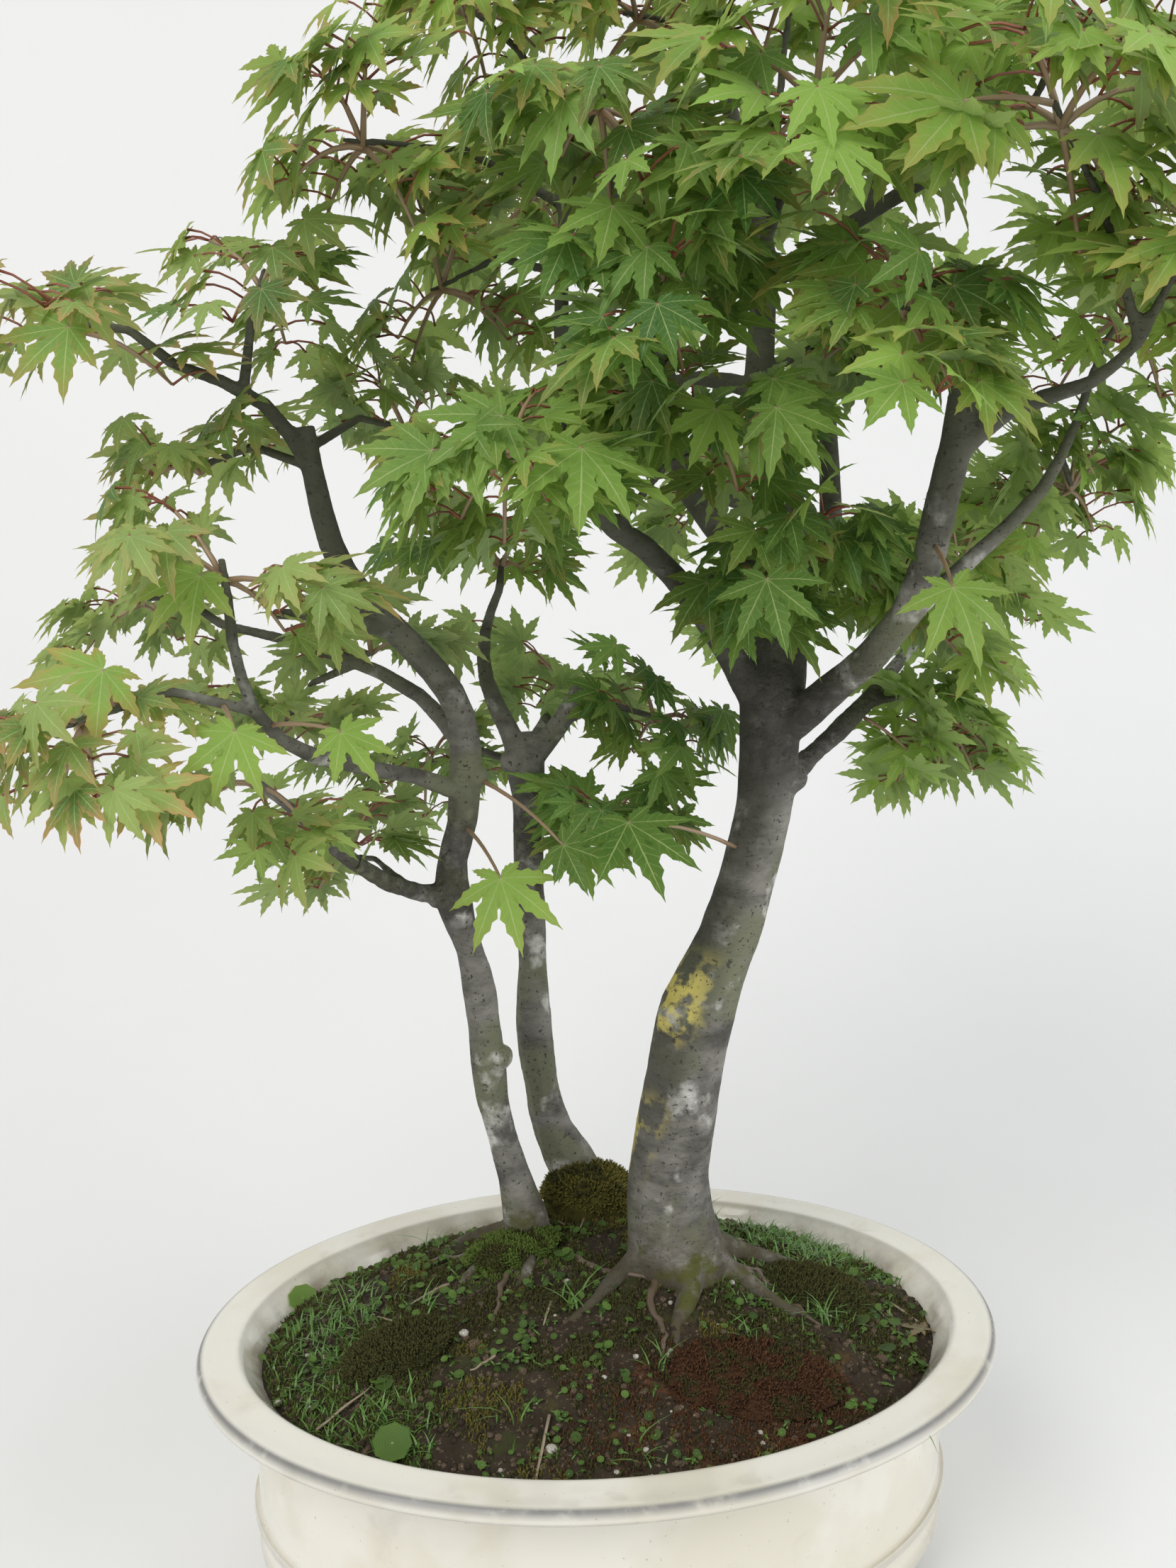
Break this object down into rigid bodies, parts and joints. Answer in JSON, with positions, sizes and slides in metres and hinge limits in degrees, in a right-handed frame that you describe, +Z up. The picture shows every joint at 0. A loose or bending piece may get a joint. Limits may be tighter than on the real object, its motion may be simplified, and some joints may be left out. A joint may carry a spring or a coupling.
{
  "type": "bonsai tree in a pot",
  "caption": "Clump of maple trunks trained as a bonsai with layered palmate foliage, standing in a mossy soil mound in an oval glazed pot on low feet.",
  "frame": {"origin": "on the surface the pot stands on, under the middle of the pot", "axes": "+X along the length of the pot, to the right seen from the front; +Y to the back; +Z up"},
  "size_m": [0.6675, 0.6047, 0.9798],
  "materials": {
    "glaze": "satin cream glaze, worn grey at the lip",
    "soil": "damp granular soil",
    "bark": "grey bark with pale patches and lichen",
    "leaf_green": "soft green leaf, slight sheen",
    "leaf_deep": "deep green leaf, slight sheen",
    "leaf_bronze": "olive and bronze leaf, slight sheen",
    "moss": "short dense moss",
    "screen_plastic": "black plastic mesh",
    "clip_wire": "bare drawn wire"
  },
  "bodies": {
    "root": {"drain_clip_left": "clip_wire", "drain_clip_right": "clip_wire", "drain_screen_left": "screen_plastic", "drain_screen_right": "screen_plastic", "left_leaves_back_low": "leaf_bronze", "left_leaves_back_tip": "leaf_bronze", "left_leaves_heart": "leaf_bronze", "left_leaves_hem": "leaf_bronze", "left_leaves_inner": "leaf_bronze", "left_leaves_low": "leaf_bronze", "left_leaves_low_tip": "leaf_bronze", "left_leaves_shelf": "leaf_bronze", "left_leaves_shoulder": "leaf_bronze", "left_leaves_top": "leaf_bronze", "left_leaves_top_tip": "leaf_bronze", "left_tree_wood": "bark", "main_leaves_apex": "leaf_green", "main_leaves_back_crown": "leaf_green", "main_leaves_back_high": "leaf_green", "main_leaves_back_left": "leaf_green", "main_leaves_back_low": "leaf_green", "main_leaves_back_middle": "leaf_green", "main_leaves_back_right": "leaf_green", "main_leaves_crown_front": "leaf_green", "main_leaves_crown_left": "leaf_green", "main_leaves_far_left": "leaf_green", "main_leaves_front_left": "leaf_green", "main_leaves_front_lower": "leaf_green", "main_leaves_front_middle": "leaf_green", "main_leaves_front_right": "leaf_green", "main_leaves_front_tip": "leaf_green", "main_leaves_front_upper": "leaf_green", "main_leaves_inner": "leaf_green", "main_leaves_left_crown": "leaf_green", "main_leaves_left_wing": "leaf_green", "main_leaves_low_front": "leaf_green", "main_leaves_right_crown": "leaf_green", "main_leaves_right_far_near": "leaf_green", "main_leaves_right_hang": "leaf_green", "main_leaves_right_low": "leaf_green", "main_leaves_right_near": "leaf_green", "main_leaves_right_shelf": "leaf_green", "main_leaves_right_skirt": "leaf_green", "main_leaves_right_top": "leaf_green", "main_leaves_tassel": "leaf_green", "main_tree_wood": "bark", "middle_leaves_back": "leaf_deep", "middle_leaves_left": "leaf_deep", "middle_leaves_right": "leaf_deep", "middle_leaves_skirt": "leaf_deep", "middle_leaves_top": "leaf_deep", "middle_tree_wood": "bark", "moss_front": "moss", "moss_left_edge": "moss", "moss_left_trunk": "moss", "moss_middle_trunk": "moss", "moss_right": "moss", "pot": "glaze", "soil_mound": "soil"}
  },
  "joints": []
}
